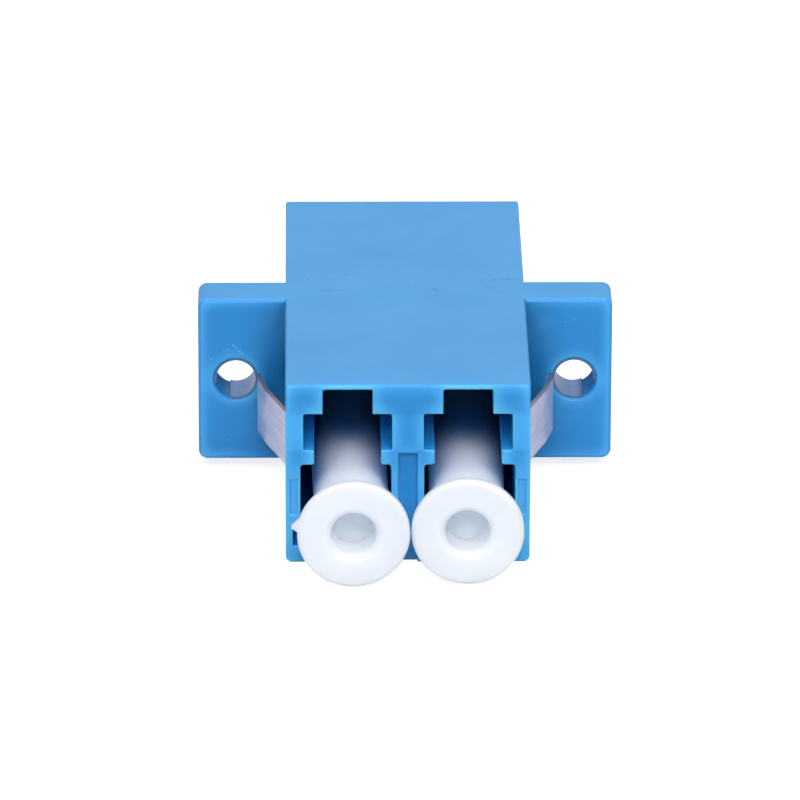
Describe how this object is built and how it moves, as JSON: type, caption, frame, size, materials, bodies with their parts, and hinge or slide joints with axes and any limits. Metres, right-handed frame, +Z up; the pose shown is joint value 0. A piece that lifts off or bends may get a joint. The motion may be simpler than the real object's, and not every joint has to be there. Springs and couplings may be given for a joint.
{
  "type": "fibre optic adapter",
  "caption": "Panel-mount LC duplex fibre adapter: flanged blue housing that joins plugs end to end, with a spring clip for the panel and pull-off dust caps in its ports.",
  "frame": {"origin": "midway between the two flange screw holes, on the flange's front face", "axes": "+X to the right along the flange, +Y from the front ports to the rear ports, +Z up, latch side on top"},
  "size_m": [0.022, 0.0345, 0.0098],
  "materials": {
    "blue_plastic": "satin moulded",
    "zirconia": "polished",
    "bush_metal": "rolled",
    "spring_steel": "stamped",
    "cap_plastic": "translucent moulded"
  },
  "bodies": {
    "adapter": {"front_housing": "blue_plastic", "rear_housing": "blue_plastic", "sleeve_left": "zirconia", "sleeve_right": "zirconia", "bush_left": "bush_metal", "bush_right": "bush_metal", "spring_clip": "spring_steel"},
    "front_left_cap": {"cap_front_left": "cap_plastic"},
    "front_right_cap": {"cap_front_right": "cap_plastic"},
    "rear_left_cap": {"cap_rear_left": "cap_plastic"},
    "rear_right_cap": {"cap_rear_right": "cap_plastic"}
  },
  "joints": [
    {"name": "front_left_cap_pull", "type": "slide", "parent": "adapter", "child": "front_left_cap", "axis": [0, -1, 0], "range_m": [0, 0.015]},
    {"name": "front_right_cap_pull", "type": "slide", "parent": "adapter", "child": "front_right_cap", "axis": [0, -1, 0], "range_m": [0, 0.015]},
    {"name": "rear_left_cap_pull", "type": "slide", "parent": "adapter", "child": "rear_left_cap", "axis": [0, 1, 0], "range_m": [0, 0.015]},
    {"name": "rear_right_cap_pull", "type": "slide", "parent": "adapter", "child": "rear_right_cap", "axis": [0, 1, 0], "range_m": [0, 0.015]}
  ]
}
